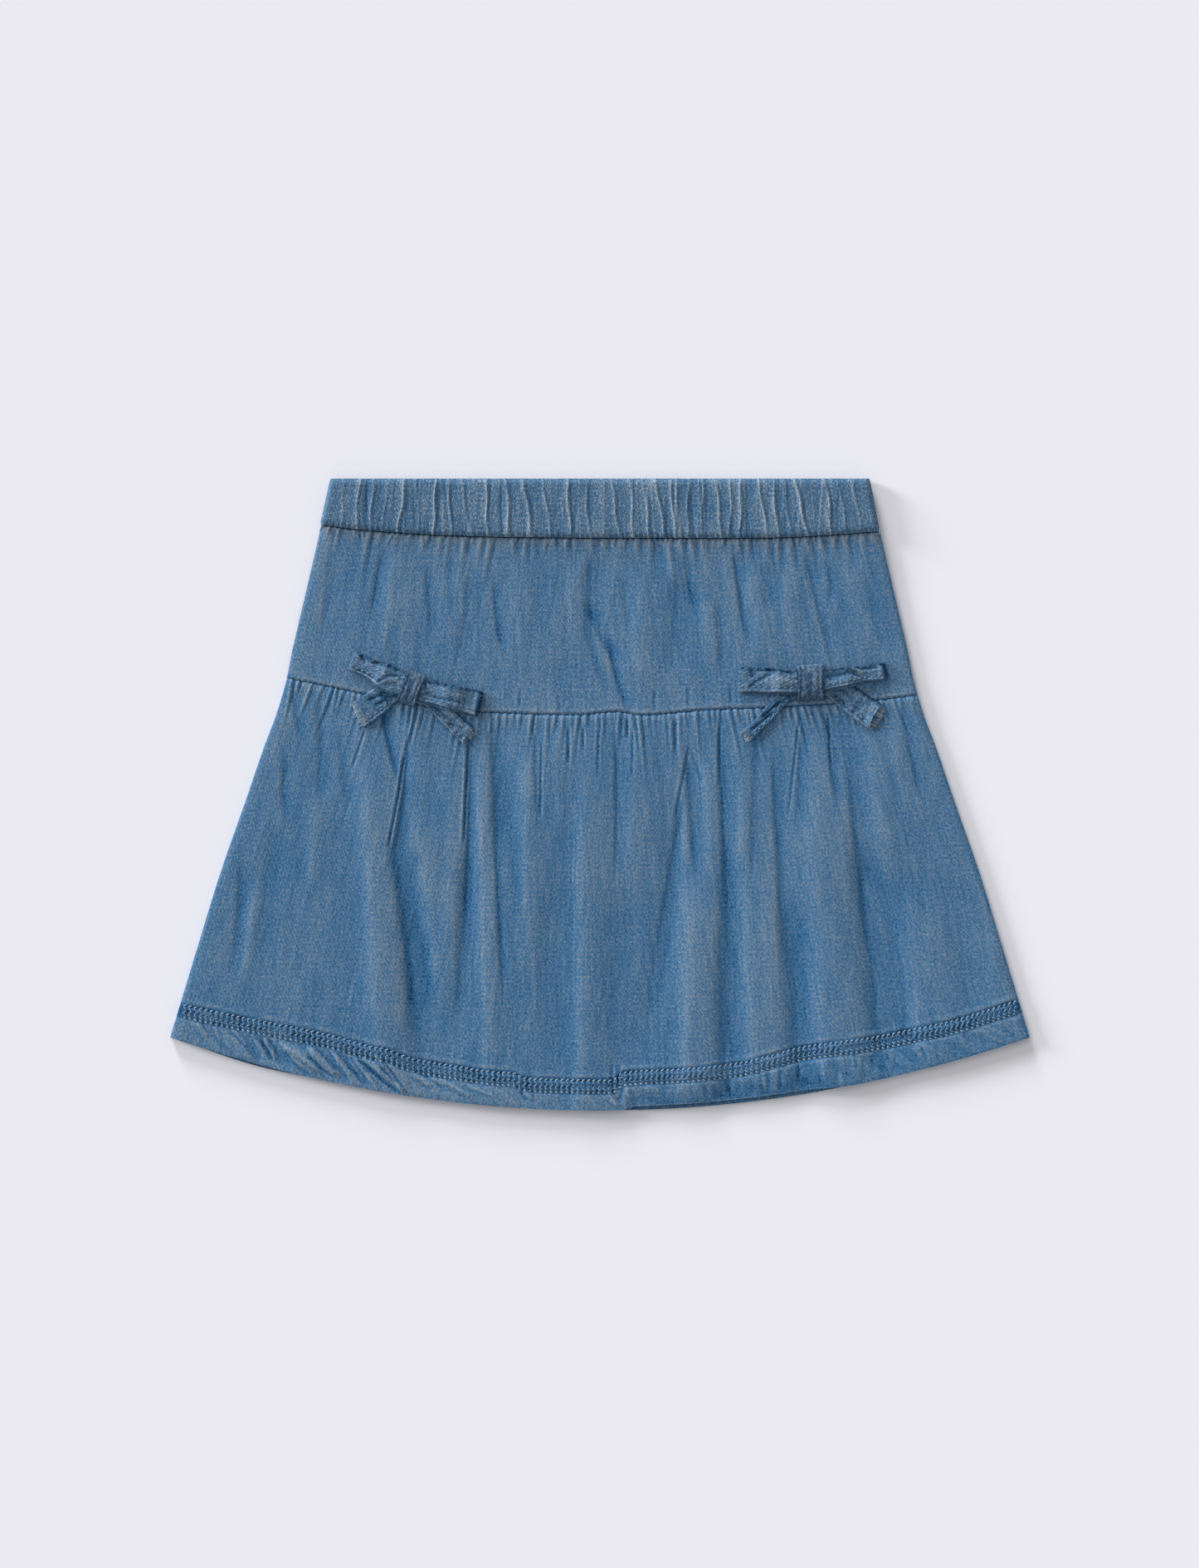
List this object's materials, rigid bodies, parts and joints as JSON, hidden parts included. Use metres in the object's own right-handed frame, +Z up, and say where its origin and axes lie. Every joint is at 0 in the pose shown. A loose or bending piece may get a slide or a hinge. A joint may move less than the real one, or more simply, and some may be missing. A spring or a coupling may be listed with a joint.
{
  "type": "gathered skirt",
  "caption": "Child's tiered skirt laid flat: gathered elastic waistband, plain yoke, gathered flounce with a stitched hem, and small bows on the yoke seam.",
  "frame": {"origin": "middle of the skirt's outline, on the surface that it lies on", "axes": "seen from above with the front up: +X to the right, +Y towards the waist, +Z up out of the front"},
  "size_m": [0.4086, 0.3, 0.0117],
  "materials": {
    "waistband_cloth": "gathered light denim",
    "skirt_cloth": "washed light denim",
    "bow_cloth": "washed light denim"
  },
  "bodies": {
    "root": {"waistband": "waistband_cloth", "yoke_front": "skirt_cloth", "yoke_back": "skirt_cloth", "flounce_front": "skirt_cloth", "flounce_back": "skirt_cloth", "bow_left_loops": "bow_cloth", "bow_left_tails": "bow_cloth", "bow_left_knot": "bow_cloth", "bow_right_loops": "bow_cloth", "bow_right_tails": "bow_cloth", "bow_right_knot": "bow_cloth"}
  },
  "joints": []
}
